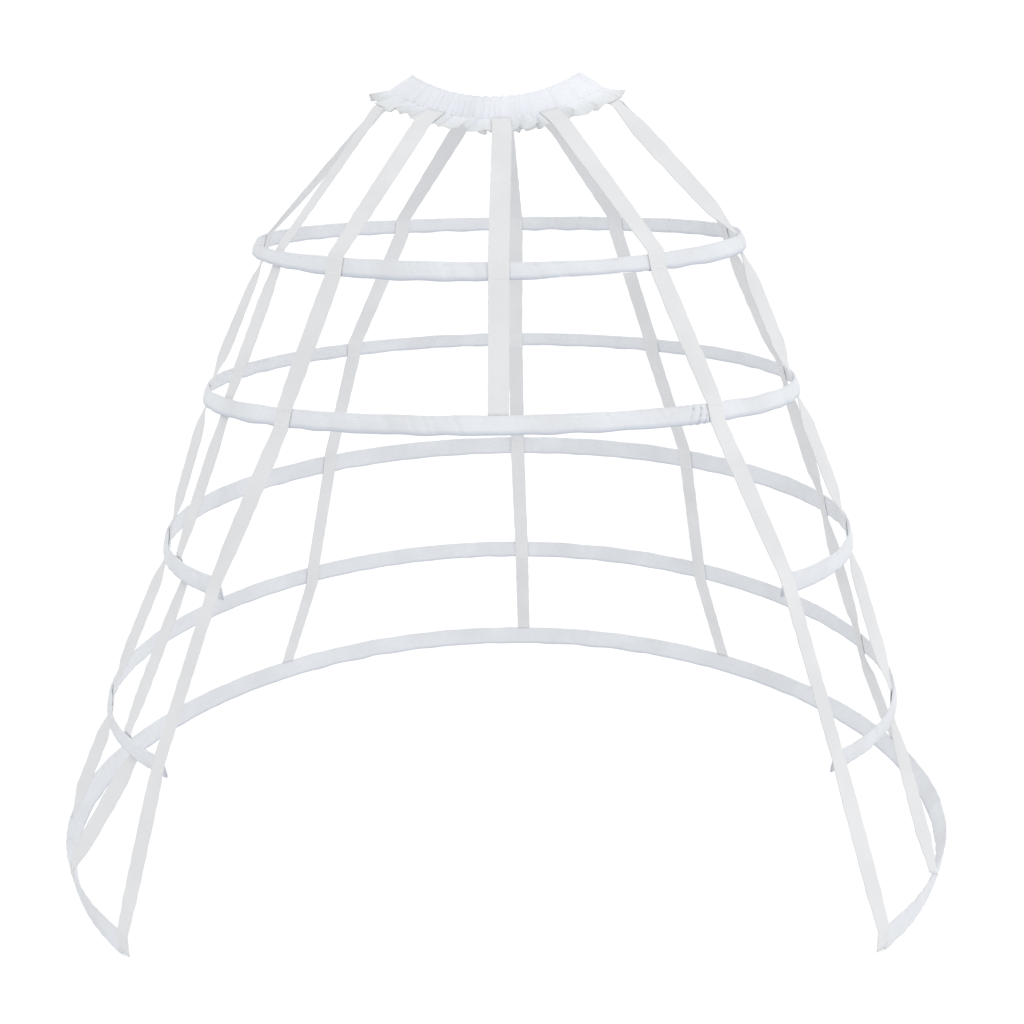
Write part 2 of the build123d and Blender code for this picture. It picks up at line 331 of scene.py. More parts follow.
def cotton(name, light, shade, pitch, weave=PLAIN, edge=None, edge_reach=6.0 * MM):
    """White cotton: plain or herringbone weave, slubs, soft creases and uneven whiteness.

    edge: painted shade, a darker colour at the edge where across starts, fading over edge_reach.
    """
    nodes = Nodes(name)
    along, across = cloth_uv(nodes)
    if weave.twill:
        zigzag = nodes.math("PINGPONG", across, HERRINGBONE_ROW)
        threads = wave(nodes, nodes.math("ADD", along, zigzag), pitch)
    else:
        threads = nodes.math("MULTIPLY", wave(nodes, along, pitch), wave(nodes, across, pitch))
    blotch = nodes.spread(nodes.noise(14.0, 3.0), 0.35, 0.65)
    slub = nodes.spread(nodes.noise(420.0, 2.0), 0.3, 0.7)
    tone = nodes.math("MULTIPLY_ADD", slub, 0.25, nodes.math("MULTIPLY", blotch, 0.75))
    colour = nodes.mix(tone, shade, light)
    # painted shade: the colour darkens towards the edge where the distance across starts
    if edge:
        edge_shade = nodes.math("SUBTRACT", 1.0, nodes.math("DIVIDE", across, edge_reach))
        colour = nodes.mix(nodes.math("MAXIMUM", edge_shade, 0.0), colour, edge)
    nodes.set("Base Color", colour)
    nodes.set("Roughness", 0.86)
    nodes.set("Specular IOR Level", weave.specular)
    nodes.set("Sheen Weight", weave.sheen)
    nodes.set("Sheen Roughness", 0.5)
    creases = nodes.bump(nodes.noise(95.0, weave.crease_detail), CREASE_DEPTH, weave.creases)
    nodes.set("Normal", nodes.bump(threads, WEAVE_DEPTH, weave.relief, creases))
    return nodes.material


def thread(name, colour):
    """Twisted sewing thread."""
    nodes = Nodes(name)
    nodes.set("Base Color", nodes.mix(nodes.noise(900.0), colour, [c * 0.9 for c in colour]))
    nodes.set("Roughness", 0.6)
    nodes.set("Normal", nodes.bump(nodes.noise(2500.0, 1.0), 0.1 * MM, 0.5))
    return nodes.material


def steel(name):
    """Pressed steel with a few dull patches."""
    nodes = Nodes(name)
    patch = nodes.noise(60.0, 4.0)
    nodes.set("Base Color", nodes.mix(patch, (0.46, 0.47, 0.49, 1), (0.62, 0.63, 0.65, 1)))
    nodes.set("Metallic", 1.0)
    nodes.set("Roughness", nodes.spread(patch, -1.0, 2.0))
    nodes.set("Normal", nodes.bump(nodes.noise(1800.0, 1.0), 0.02 * MM, 0.4))
    return nodes.material


def coating(name, light, shade, roughness):
    """White coating of a steel strip, or moulded plastic, a little uneven."""
    nodes = Nodes(name)
    nodes.set("Base Color", nodes.mix(nodes.noise(300.0), shade, light))
    nodes.set("Roughness", roughness)
    nodes.set("Normal", nodes.bump(nodes.noise(700.0), 0.05 * MM, 0.3))
    return nodes.material


RIB_PITCH = 1.6 * MM


def elastic_webbing(name):
    """Knitted white elastic with fine ribs round the waist."""
    nodes = Nodes(name)
    place = nodes.add("ShaderNodeTexCoord").outputs["Object"]
    height = nodes.add("ShaderNodeSeparateXYZ", inputs={0: place}).outputs[2]
    ribs = wave(nodes, height, RIB_PITCH)
    shade, light = (0.78, 0.79, 0.80, 1), (0.86, 0.87, 0.88, 1)
    nodes.set("Base Color", nodes.mix(nodes.noise(500.0), shade, light))
    nodes.set("Roughness", 0.7)
    nodes.set("Normal", nodes.bump(ribs, 0.25 * MM, 0.8))
    return nodes.material


# the casings' edge colour is painted shade: a darker bluish band along their lower edge
CASING_COTTON = cotton("casing cotton", (0.76, 0.785, 0.82, 1), (0.69, 0.705, 0.73, 1), 0.9 * MM,
                       edge=(0.52, 0.56, 0.64, 1))
# the waistband's edge colour is painted shade: the frill greys towards its hem
WAIST_COTTON = cotton("waistband cotton", (0.825, 0.845, 0.895, 1), (0.74, 0.76, 0.805, 1),
                      0.8 * MM, edge=(0.70, 0.72, 0.725, 1), edge_reach=26.0 * MM)
TAPE_COTTON = cotton("tape cotton", (0.745, 0.755, 0.765, 1), (0.69, 0.70, 0.71, 1), 1.3 * MM,
                     HERRINGBONE)
THREAD = thread("white sewing thread", (0.90, 0.91, 0.93, 1))


def finish_hidden_nodes():
    """Materials of the CAD parts that stay inside the cloth."""
    spring = coating("coated spring steel", (0.88, 0.88, 0.88, 1), (0.82, 0.82, 0.82, 1), 0.3)
    sleeve = steel("connector steel")
    tip = coating("bone tip plastic", (0.86, 0.86, 0.85, 1), (0.80, 0.81, 0.80, 1), 0.38)
    webbing = elastic_webbing("knitted elastic")
    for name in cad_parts:
        if name.endswith("bone"):
            finish = spring
        elif name.endswith("connector"):
            finish = sleeve
        elif name == "bone_tips":
            finish = tip
        elif name == "waist_elastic":
            finish = webbing
        else:
            continue
        node = bpy.data.objects[name]
        node.data.materials.clear()
        node.data.materials.append(finish)


# ================================================================ hoop casings
# A casing strip is folded round the bone and stitched along near its upper edge, which leaves a
# flat lip above the stitches and a puffy channel below them.
LIP_HALF = 1.15 * MM             # half the thickness of the lip
PINCH_HALF = 0.85 * MM           # half the thickness at the stitches
STITCH_LEVEL = 0.66              # height of the stitch line, as a share of half the casing's height
ROUNDNESS = 2.6                  # exponent of the channel's and the lip's section
PRESSED_REACH = 5.0 * MM         # a casing is flat under a tape, and becomes round this far past it
PUCKER_REACH = 14.0 * MM         # and its puckers are back this far past it
PUCKER_DAMPING = 0.85            # share of a pucker that goes at a tape
PUCKER_PITCH = 26.0 * MM         # about this far from one pucker to the next
PUCKER_SLANT = 0.012             # in radians round the hoop, from the middle to the upper edge
PUCKER_DEPTHS = (0.45 * MM, 0.25 * MM)    # of the puckers and of the finer ones between them
PUCKER_RISE = 0.2 * MM           # the cloth stands out no further than this between puckers
EDGE_WAVES = (0.5 * MM, 0.35 * MM)    # of the lower and the upper edge
# An open casing's ends are turned in and stitched shut, and their lower corners are folded up:
# turn_in is how far, share how much of the height goes, and reach how long the folded corner is.
EndFold = namedtuple("EndFold", "turn_in share reach")
END_FOLDS = {3: EndFold(5.0 * MM, 0.6, 4.0 * MM), 4: EndFold(5.0 * MM, 0.6, 4.0 * MM),
             5: EndFold(2.0 * MM, 0.38, 14.0 * MM)}
JOINT_HOOP = 2                   # its casing's two ends are gathered into a bunched joint
JOINT_AZIMUTH = 35.0
JOINT_REACH = 12.0 * MM
JOINT_FOLD = 9.0 * MM            # from one small fold of the joint to the next
JOINT_SLANT = 1.6                # how far a fold leans, in radians of its wave
JOINT_PUFF = 7.0 * MM            # how far the folds stand out
JOINT_WAVE = 2.4 * MM            # how far they move the casing's edges
JOINT_TAPE_REACH = 4.0 * MM      # they start this far from a tape's edge
NARROW_HOOP = 1                  # its casing is narrower in two places
NARROW_PLACES = ((22.0, 22.0), (-66.0, 24.0))   # azimuth and reach, in degrees
NARROW_AMOUNT = 0.22
PINCHED_ROWS = ((0, 0.12), (-1, 0.12), (1, 0.75), (-2, 0.75))   # share of the thickness they keep
PROFILE_STEPS = 11               # mesh points up each side of a casing


def rounded(level, low, high):
    """Half thickness of a round section between two levels, one at its thickest."""
    middle, reach = (low + high) / 2, (high - low) / 2
    return (1 - np.clip(np.abs(level - middle) / reach, 0, 1) ** ROUNDNESS) ** 0.5


def casing_half(level):
    """Half the thickness of a casing at a level from -1 at its lower edge to 1 at its upper."""
    channel = CASING_HALF * rounded(level, -1, STITCH_LEVEL)
    lip = LIP_HALF * rounded(level, STITCH_LEVEL, 1)
    pinch = PINCH_HALF * np.sqrt(np.clip(1 - level ** 8, 0, 1))
    return np.maximum(np.maximum(channel, lip), pinch)


def profile_levels():
    """Levels from the lower to the upper edge, closer together where the section is round."""
    round_section = -np.cos(np.linspace(0, pi, PROFILE_STEPS))
    even = np.linspace(-1, 1, PROFILE_STEPS)
    return round_section * 0.6 + even * 0.4


def near_tapes(number, azimuth, reach, sides=(True, False)):
    """One where a tape crosses the hoop on its outer or inner side, and nothing elsewhere.

    It has one row for each azimuth, and fades over a reach past the tape's edges. sides holds the
    values of Tape.outer that count.
    """
    cover = np.zeros_like(azimuth)
    for tape in TAPES.values():
        if number < len(tape.azimuths) and tape.outer in sides and not only_touches(tape, number):
            away = np.abs(angle_gap(azimuth, radians(tape.azimuths[number])))
            away = away * hoop_radius(HOOPS[number], azimuth)
            edge = TAPE_WIDTH * 0.5
            cover = np.maximum(cover, 1 - smooth_step(away, edge, edge + reach))
    return cover[:, None]


def casing_grid(number, azimuth):
    """Outer surface of a casing, with its puckers."""
    hoop = HOOPS[number]
    half = hoop.casing_height / 2
    levels = profile_levels()
    loop = np.concatenate((levels, levels[-2:0:-1]))
    side = np.concatenate((np.ones(PROFILE_STEPS), -np.ones(PROFILE_STEPS - 2)))
    angle, level = np.meshgrid(azimuth, loop, indexing="ij")
    pressed = CASING_HALF * np.sqrt(np.clip(1 - level ** 10, 0, 1))
    share = np.where(side > 0, near_tapes(number, azimuth, PRESSED_REACH, (True,)),
                     near_tapes(number, azimuth, PRESSED_REACH, (False,)))
    out = side * (casing_half(level) * (1 - share) + pressed * share)
    puckers = int(2 * pi * hoop.half_width / PUCKER_PITCH)
    free = 1 - PUCKER_DAMPING * near_tapes(number, azimuth, PUCKER_REACH)
    slant = angle + level * PUCKER_SLANT
    fullness = (PUCKER_DEPTHS[0] * ripple(slant, puckers, number)
                + PUCKER_DEPTHS[1] * ripple(slant, 3 * puckers, 10 + number))
    is_puffy = np.abs(out) > PINCH_HALF
    out = out + side * free * np.minimum(fullness, PUCKER_RISE) * is_puffy
    low_wave = EDGE_WAVES[0] * ripple(angle, puckers // 2, 20 + number)
    high_wave = EDGE_WAVES[1] * ripple(angle, puckers // 3, 30 + number)
    up = level * half
    up = up + low_wave * np.clip(-level, 0, 1) * free
    up = up + high_wave * np.clip(level, 0, 1) * free
    if number == JOINT_HOOP:
        place = angle_gap(angle, radians(JOINT_AZIMUTH)) * hoop.half_width
        beside_tape = 1 - near_tapes(number, azimuth, JOINT_TAPE_REACH, (True,))
        bunch = bump(place, 0, JOINT_REACH) * beside_tape
        folds = np.abs(np.sin(place / JOINT_FOLD * pi - JOINT_SLANT * level)) ** 0.5
        out = out + side * bunch * JOINT_PUFF * folds * (1 - level ** 8)
        up = up + bunch * (folds - 0.5) * JOINT_WAVE * level
    if number == NARROW_HOOP:
        for centre, reach in NARROW_PLACES:
            away = np.degrees(angle_gap(angle, radians(centre)))
            up = up * (1 - NARROW_AMOUNT * bump(away, 0, reach))
    if hoop.is_open:
        to_end = np.minimum(angle - azimuth[0], azimuth[-1] - angle) * hoop.half_width
        fold = END_FOLDS[number]
        folded = fold.share * (1 - smooth_step(to_end, 0, fold.reach))
        up = half - (half - up) * (1 - folded)
    return hoop_point(hoop, angle, out, up)


def make_casing(number):
    """Cloth tube round a hoop's bone, closed or with stitched ends."""
    hoop = HOOPS[number]
    if hoop.is_open:
        first, last = open_span(number)
        inset = END_FOLDS[number].turn_in / hoop.half_width
        azimuth = spaced(first + inset, last - inset, STEP / hoop.half_width)
    else:
        azimuth = spaced(0.0, 2 * pi, FINE_STEP / hoop.half_width)[:-1]
    grid = casing_grid(number, azimuth)
    if hoop.is_open:
        pinch_ends(grid)
    middle = grid.mean(axis=1)
    around = grid[len(grid) // 2]
    if not hoop.is_open:
        middle = np.vstack((middle, middle[:1]))
    along = lengths(middle)
    across = lengths(np.vstack((around, around[:1])))
    # distance from the lower edge both ways round the section, where the casing cotton's painted
    # shade lies
    across = np.minimum(across, across[-1] - across)
    name = f"hoop_{number}_casing_cloth"
    piece = cloth_piece(name, grid, along, across, CASING_COTTON, CASING_CLOTH,
                        closed_along=not hoop.is_open, closed_across=True)
    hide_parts(f"hoop_{number}_casing")


def pinch_ends(grid):
    """Flatten the last rows of an open casing onto its own middle, where it is stitched shut."""
    for row, share in PINCHED_ROWS:
        ring = grid[row]
        half = len(ring) // 2
        outer = ring[1:half]
        inner = ring[:half:-1]
        centre = (outer + inner) / 2
        ring[1:half] = centre + (outer - centre) * share
        ring[:half:-1] = centre + (inner - centre) * share


# ================================================================ tapes
TAPE_SECTION = (-1.0, -0.96, -0.82, -0.5, 0.0, 0.5, 0.82, 0.96, 1.0)
RUN_EASE = 0.27                  # share of a free run over which its twist comes in and goes out
WIDTH_WAVE = 0.02                # unevenness of a tape's width, as a share of it
CUP_DEPTH = 0.35 * MM            # how far a tape's middle waves
EDGE_WAVE = 0.2 * MM             # and its edges
TUCK_DEPTH = 1.0 * MM            # a tucked end lies this far below the casing's upper edge

Station = namedtuple("Station", "middle across starts_run")


def tape_station(point, radius, azimuth, out, up):
    """Middle of a tape's two edges and the direction from one edge to the other."""
    half_angle = TAPE_WIDTH / 2 / radius
    first = point(azimuth - half_angle, out, up)
    second = point(azimuth + half_angle, out, up)
    return (first + second) / 2, unit(second - first)


def tape_offset(outer, surface, radius):
    """Offset of a tape's middle surface from the middle line of the cloth that it crosses."""
    if outer:
        chord_sag = radius - (radius ** 2 - (TAPE_WIDTH / 2) ** 2) ** 0.5
        return surface + SOFT_GAP + chord_sag + TAPE_CLOTH / 2
    return -surface - SOFT_GAP - TAPE_CLOTH / 2


def is_tucked(tape, number):
    """Whether a tape ends here, sewn into the casing's upper edge."""
    return number == len(tape.azimuths) - 1 and not (tape.outer and number == LAST_HOOP)


def only_touches(tape, number):
    """Whether an outer tape lies on nothing but the casing's upper edge, which flares out there."""
    return tape.outer and HOOPS[number].is_open and number != LAST_HOOP


def tape_stations(tape):
    """Places where a tape bends, with whether a free run follows each of them."""
    azimuth = radians(tape.azimuths[0])
    stations = []
    for ring, surface in ((WAIST_SEAM, BAND_HALF), (WAIST_HEM, FRILL_HALF)):
        radius = ring_radius(ring, azimuth)
        out = tape_offset(tape.outer, surface, radius)
        middle, across = tape_station(partial(ring_point, ring), radius, azimuth, out, 0.0)
        stations.append(Station(middle, across, ring is WAIST_HEM))
    for number in range(1, len(tape.azimuths)):
        hoop = HOOPS[number]
        azimuth = radians(tape.azimuths[number])
        radius = hoop_radius(hoop, azimuth)
        half = hoop.casing_height / 2
        out = tape_offset(tape.outer, CASING_HALF, radius)
        is_end = number == len(tape.azimuths) - 1
        ups = (half + EDGE_MARGIN, -half - EDGE_MARGIN)
        if is_tucked(tape, number):
            out = 0.0
            ups = (half - TUCK_DEPTH,)
        elif only_touches(tape, number):
            ups = (half,)
        elif is_end:
            ups = (half + EDGE_MARGIN, TAPE_END_LIFT - half)
        for up in ups:
            middle, across = tape_station(partial(hoop_point, hoop), radius, azimuth, out, up)
            stations.append(Station(middle, across, up == ups[-1] and not is_end))
    return stations


def tape_line(tape):
    """Middle line, across direction and twist of a tape, from top to bottom."""
    stations = tape_stations(tape)
    middles, acrosses, twists = [], [], []
    side = 1.0 if tape.azimuths[1] > 0 else -1.0
    free_run = 0
    for high, low in zip(stations, stations[1:]):
        share = spaced(0.0, 1.0, STEP / np.linalg.norm(low.middle - high.middle))
        if high is not stations[0]:
            share = share[1:]
        share = share[:, None]
        middles.append(high.middle * (1 - share) + low.middle * share)
        acrosses.append(high.across * (1 - share) + low.across * share)
        amount = np.zeros(len(share))
        if high.starts_run:
            ease = np.minimum(smooth_step(share[:, 0], 0, RUN_EASE),
                              smooth_step(1 - share[:, 0], 0, RUN_EASE))
            amount = ease * radians(tape.twist[free_run]) * side
            free_run += 1
        twists.append(amount)
    return np.vstack(middles), unit(np.vstack(acrosses)), np.concatenate(twists)


def make_tape(name, tape, seed):
    """One cotton tape, laid flat over or under each casing and slightly turned between them."""
    middle, across, twist = tape_line(tape)
    tangent = unit(np.gradient(middle, axis=0))
    across = unit(across - tangent * (across * tangent).sum(axis=1, keepdims=True))
    normal = np.cross(tangent, across)
    turned = across * np.cos(twist)[:, None] + normal * np.sin(twist)[:, None]
    facing = np.cross(tangent, turned)
    along = lengths(middle)
    travel = along / along[-1] * 2 * pi
    half = TAPE_WIDTH / 2 * (1 + WIDTH_WAVE * ripple(travel, 30, seed))
    section = np.array(TAPE_SECTION)
    cup = CUP_DEPTH * ripple(travel, 16, seed + 40)[:, None] * (1 - section ** 2)
    edge = EDGE_WAVE * ripple(travel, 45, seed + 80)[:, None] * section
    grid = (middle[:, None] + turned[:, None] * (half[:, None] * section)[..., None]
            + facing[:, None] * (cup + edge)[..., None])
    piece = cloth_piece(f"{name}_cloth", grid, along, (section + 1) * TAPE_WIDTH / 2, TAPE_COTTON,
                        TAPE_CLOTH, offset=0.0)
    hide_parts(name)


# ================================================================ waistband
# One strip, folded over the elastic and stitched through below it, so that both its layers go on
# down as the frill.
GATHERS = 104                    # fine gathers round the casing
PLEATS = 34                      # folds round the frill
PLEAT_AZIMUTHS = (-170, -149, -133, -118, -97, -82, -66, -54, -44, -37.5, -23, -10, 7.5, 14, 21.5,
                  38, 51, 71, 88, 99, 117, 131, 158, 170)
PLEAT_DEPTH = 4.5 * MM           # how far the cloth goes in behind a pleat's edge
PLEAT_SLANT = 0.05               # how far round a knife pleat runs on its way down, in radians
STEP_WIDTH = 0.7 * MM            # a pleat steps over its neighbour within this distance
STEP_REACH = 6.0 * MM
CREASE_PLACE = 1.2 * MM          # a crease's distance from the step, and its reach
CREASE_REACH = 1.5 * MM
NOTCH_REACH = 2.5 * MM
GATHER_HEIGHT = 0.75 * MM
GATHERS_STRONG_AT = -30.0        # azimuth where the gathers are deepest, and how far that reaches
GATHERS_STRONG_REACH = 35.0
CROWN_HEIGHT = 1.3 * MM          # how far the top fold stands up
SCALLOP_HEIGHT = 0.6 * MM        # waves of the top fold
STEP_HEIGHT = 3.4                # of a pleat at the hem, in mm, before the two shares below
LIFT_OUT = 0.4                   # shares of the frill's folds that go outwards and upwards
LIFT_UP = 0.9
BACK_LIFT = 0.70                 # how much shorter the frill is at the back
FRILL_LAYERS_HALF = 1.2 * MM     # half the thickness of the frill's two layers
FRILL_ROWS = 12
CHANNEL_ROWS = 10
FOLD_ROWS = 5


def tape_cover(azimuth, outer):
    """One under or over the tapes that are sewn to the frill, nothing elsewhere."""
    cover = np.zeros_like(azimuth)
    radius = (WAIST_SEAM.half_width + WAIST_HEM.half_width) / 2
    for tape in TAPES.values():
        if tape.outer == outer:
            away = np.abs(angle_gap(azimuth, radians(tape.azimuths[0]))) * radius
            cover = np.maximum(cover, 1 - smooth_step(away, 0.45 * TAPE_WIDTH, 0.8 * TAPE_WIDTH))
    return cover


def waist_profile():
    """Rows of the folded strip: level on the slope, side, and how far up the top fold they are.

    level is 1 at the top fold, 0 at the seam and -1 at the hem. side is 1 outside, -1 inside.
    """
    frill = np.linspace(-1, 0, FRILL_ROWS + 1)
    channel = np.linspace(0, 1, CHANNEL_ROWS + 1)[1:-1]
    up = np.concatenate((frill, channel))
    fold = np.linspace(0, pi, FOLD_ROWS)
    level = np.concatenate((up, 1 + 0 * fold, up[::-1]))
    side = np.concatenate((np.ones(len(up)), np.cos(fold), -np.ones(len(up))))
    crown = np.concatenate((0 * up, np.sin(fold), 0 * up))
    return level, side, crown


def waist_half(level):
    """Half the thickness of the strip's two layers and what is between them."""
    channel = BAND_HALF * np.sqrt(np.clip(1 - np.abs(2 * level - 1) ** 3.5, 0, 1))
    return np.where(level > 0, np.maximum(channel, FRILL_LAYERS_HALF), FRILL_LAYERS_HALF)


def knife_pleats(angle, below):
    """Where the frill steps over itself, its deep creases, and the notches in its edge."""
    step, crease, notch = 0 * below, 0 * below, 0 * below
    for azimuth in PLEAT_AZIMUTHS:
        away = angle_gap(angle, radians(azimuth) - PLEAT_SLANT * below) * WAIST_HEM.half_width
        step = step - np.tanh(away / STEP_WIDTH) * bump(away, 0, STEP_REACH)
        crease = crease + bump(away, CREASE_PLACE, CREASE_REACH)
        notch = notch + bump(away, 0, NOTCH_REACH)
    return step, crease, notch


def make_waistband():
    """Gathered casing and frill in one strip."""
    azimuth = spaced(0.0, 2 * pi, WAIST_STEP / WAIST_HEM.half_width)[:-1]
    level, side, crown = waist_profile()
    angle = azimuth[:, None]
    above = np.clip(level, 0, 1)
    below = np.clip(-level, 0, 1)[None] + 0 * angle
    # gathers: fine vertical wrinkles that fade towards the top fold
    from_strongest = angle_gap(angle, radians(GATHERS_STRONG_AT))
    strong = 0.45 + 0.55 * bump(from_strongest, 0, radians(GATHERS_STRONG_REACH))
    lean = angle + 0.02 * np.sin(3 * angle) * level
    gathers = strong * (ripple(lean, GATHERS, 5) + 0.7 * ripple(lean, 2 * GATHERS, 6))
    fade = (0.35 + 0.65 * (1 - above)) * (level >= 0)
    out = side * waist_half(level) + GATHER_HEIGHT * gathers * fade
    # frill: folds that open out towards the hem, flat where a tape is sewn over them
    fold = ripple(angle, PLEATS, 7, spread=0.2) + 0.35 * ripple(angle, 2 * PLEATS, 8)
    free = 1 - np.maximum(tape_cover(azimuth, True), tape_cover(azimuth, False))[:, None]
    step, crease, notch = knife_pleats(angle, below)
    opening = fold * (0.3 + 1.7 * below) + STEP_HEIGHT * step * below ** 0.5
    lift = free * opening * MM * (level <= 0)
    out = out + LIFT_OUT * lift - free * crease * PLEAT_DEPTH * below ** 0.5 * (level <= 0)
    hem_line = 0.6 * MM * fold - 2.0 * MM * notch + 0.8 * MM * ripple(angle, 14, 9)
    drop = hem_line * free * below ** 2
    below = below * (1 - BACK_LIFT * (1 - np.cos(angle)) / 2)
    top = ring_point(WAIST_TOP, angle, out, 0 * out)
    seam = ring_point(WAIST_SEAM, angle, out, 0 * out)
    hem = ring_point(WAIST_HEM, angle, out, 0 * out)
    grid = seam + (top - seam) * above[:, None] + (hem - seam) * below[:, :, None]
    scallop = SCALLOP_HEIGHT * ripple(angle, GATHERS, 11) * above ** 3
    grid[..., 2] += CROWN_HEIGHT * crown + scallop + LIFT_UP * lift - drop
    middle = np.vstack((grid[:, 0], grid[:1, 0]))
    across = lengths(grid[0])
    along = lengths(middle)
    # distance from the hem on both layers, where the waistband cotton's painted shade lies
    from_hem = np.minimum(across, across[-1] - across)
    piece = cloth_piece("waist_casing_cloth", grid, along, from_hem, WAIST_COTTON,
                        WAIST_CLOTH, closed_along=True)
    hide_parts("waistband")
    seam_stitches(grid[:, FRILL_ROWS], azimuth)


# ================================================================ stitching
STITCH_LENGTH = 2.6 * MM
STITCH_PITCH = 3.3 * MM
STITCH_RADIUS = 0.28 * MM
STITCH_SIDES = 5
STITCH_PROFILE = ((-1.0, 0.25), (-0.6, 1.0), (0.6, 1.0), (1.0, 0.25))   # place and thickness
END_CLEARANCE = 4.0 * MM         # stitches along an open casing start this far from its end
BOX_INSET = 2.0 * MM             # from a tape's or casing's edge to the box of stitches
BOX_TOP_INSET = 2.2 * MM
SEAM_PITCH = 3                   # points of the seam line from one stitch to the next
SEAM_STITCH = 2                  # and along a stitch


def stitch_mesh(name, starts, ends, normals):
    """Short threads, each thickest in its middle and sunk into the cloth at its ends."""
    middle = (starts + ends) / 2
    along = unit(ends - starts)
    across = unit(np.cross(along, normals))
    lift = unit(np.cross(across, along))
    turns = np.linspace(0, 2 * pi, STITCH_SIDES, endpoint=False)
    rings = []
    for share, size in STITCH_PROFILE:
        sunk = STITCH_RADIUS * (1.2 * abs(share) - 0.6)
        centre = middle + (ends - starts) * share / 2 - lift * sunk
        for angle in turns:
            spoke = across * np.cos(angle) + lift * np.sin(angle)
            rings.append(centre + STITCH_RADIUS * size * spoke)
    points = np.stack(rings, axis=1)
    count, per_stitch = points.shape[:2]
    quads = []
    for ring in range(len(STITCH_PROFILE) - 1):
        for k in range(STITCH_SIDES):
            a, b = ring * STITCH_SIDES + k, ring * STITCH_SIDES + (k + 1) % STITCH_SIDES
            quads.append((a, b, b + STITCH_SIDES, a + STITCH_SIDES))
    offsets = (np.arange(count) * per_stitch)[:, None, None]
    faces = (np.array(quads)[None] + offsets).reshape(-1, 4)
    mesh = bpy.data.meshes.new(name)
    mesh.from_pydata(points.reshape(-1, 3), [], faces.tolist())
    return mesh


def hoop_stitches(number):
    """Rows of stitches along a casing, on its outside and inside."""
    hoop = HOOPS[number]
    half = hoop.casing_height / 2
    if hoop.is_open:
        first, last = open_span(number)
        inset = (END_FOLDS[number].turn_in + END_CLEARANCE) / hoop.half_width
        first, last = first + inset, last - inset
    else:
        first, last = 0.0, 2 * pi
    starts, ends, normals = [], [], []
    azimuth = spaced(first, last, STITCH_PITCH / hoop.half_width)[:-1]
    reach = STITCH_LENGTH / hoop.half_width
    up = STITCH_LEVEL * half
    for side in (1, -1):
        out = side * (PINCH_HALF + STITCH_RADIUS * 0.5)
        starts.append(hoop_point(hoop, azimuth, out, up))
        ends.append(hoop_point(hoop, azimuth + reach, out, up))
        normals.append(hoop_point(hoop, azimuth, out + side * MM, up) - starts[-1])
    return np.vstack(starts), np.vstack(ends), np.vstack(normals)


def box_row(hoop, azimuth, out, side, corners):
    """Stitches along one straight row of a box, between two (across, up) corners."""
    first, last = (np.array(corner) for corner in corners)
    run = np.linalg.norm(last - first)
    places = spaced(0.0, run, STITCH_PITCH)[:-1]
    direction = (last - first) / run
    radius = hoop_radius(hoop, azimuth)

    def place(distance):
        spots = first + direction * distance[:, None]
        return hoop_point(hoop, azimuth + spots[:, 0] / radius, out, spots[:, 1])

    outwards = hoop_point(hoop, azimuth, out + side * MM) - hoop_point(hoop, azimuth, out)
    normals = np.repeat(outwards[None], len(places), axis=0)
    return place(places), place(places + STITCH_LENGTH), normals


def crossing_stitches(number):
    """Boxes of stitches that hold the tapes to a casing."""
    hoop = HOOPS[number]
    half = hoop.casing_height / 2
    high = half - BOX_TOP_INSET
    low = TAPE_END_LIFT + BOX_INSET - half if number == LAST_HOOP else -high
    wide = TAPE_WIDTH / 2 - BOX_INSET
    corners = ((-wide, high), (wide, high), (wide, low), (-wide, low))
    rows = []
    for tape in TAPES.values():
        is_crossed = number < len(tape.azimuths)
        if not is_crossed or is_tucked(tape, number):
            continue
        azimuth = radians(tape.azimuths[number])
        radius = hoop_radius(hoop, azimuth)
        side = 1 if tape.outer else -1
        sag = radius - (radius ** 2 - wide ** 2) ** 0.5 if tape.outer else 0
        out = side * (CASING_HALF + SOFT_GAP + TAPE_CLOTH + STITCH_RADIUS * 0.3) + sag
        for first, last in zip(corners, corners[1:] + corners[:1]):
            rows.append(box_row(hoop, azimuth, out, side, (first, last)))
            if only_touches(tape, number):
                break
    return [np.vstack(parts) for parts in zip(*rows)]


def seam_stitches(seam_line, azimuth):
    """Row of stitches that closes the waist channel, along a row of the strip's own points."""
    starts = seam_line[::SEAM_PITCH]
    ends = np.roll(seam_line, -SEAM_STITCH, axis=0)[::SEAM_PITCH]
    turns = azimuth[::SEAM_PITCH]
    normals = np.stack((np.sin(turns), -np.cos(turns), np.ones_like(turns)), axis=-1)
    raised = unit(normals) * STITCH_RADIUS
    mesh = stitch_mesh("waist_stitching", starts + raised, ends + raised, normals)
    mesh_piece("waist_stitching", mesh, THREAD)


def make_stitching():
    """Thread of every casing and crossing, one piece for each hoop."""
    for number in HOOPS:
        along = hoop_stitches(number)
        boxes = crossing_stitches(number)
        parts = [np.vstack(pair) for pair in zip(along, boxes)]
        name = f"hoop_{number}_stitching"
        mesh_piece(name, stitch_mesh(name, *parts), THREAD)


# ================================================================ stage, light and camera
FLOOR_DROP = 0.12                # the cage hangs this far above the floor
FLOOR_SIZE = 60.0
HORIZON = (0.30, 0.50)           # heights, of 0 to 1, between which the room grows brighter
LOW_ROOM = (0.93, 0.935, 0.95, 1)
HIGH_ROOM = (1.0, 1.0, 1.0, 1)
ROOM_STRENGTH = 1.08
KEY_PLACE = (2.2, -1.6, 0.9)
KEY_SIZE = 1.8
KEY_POWER = 7.0
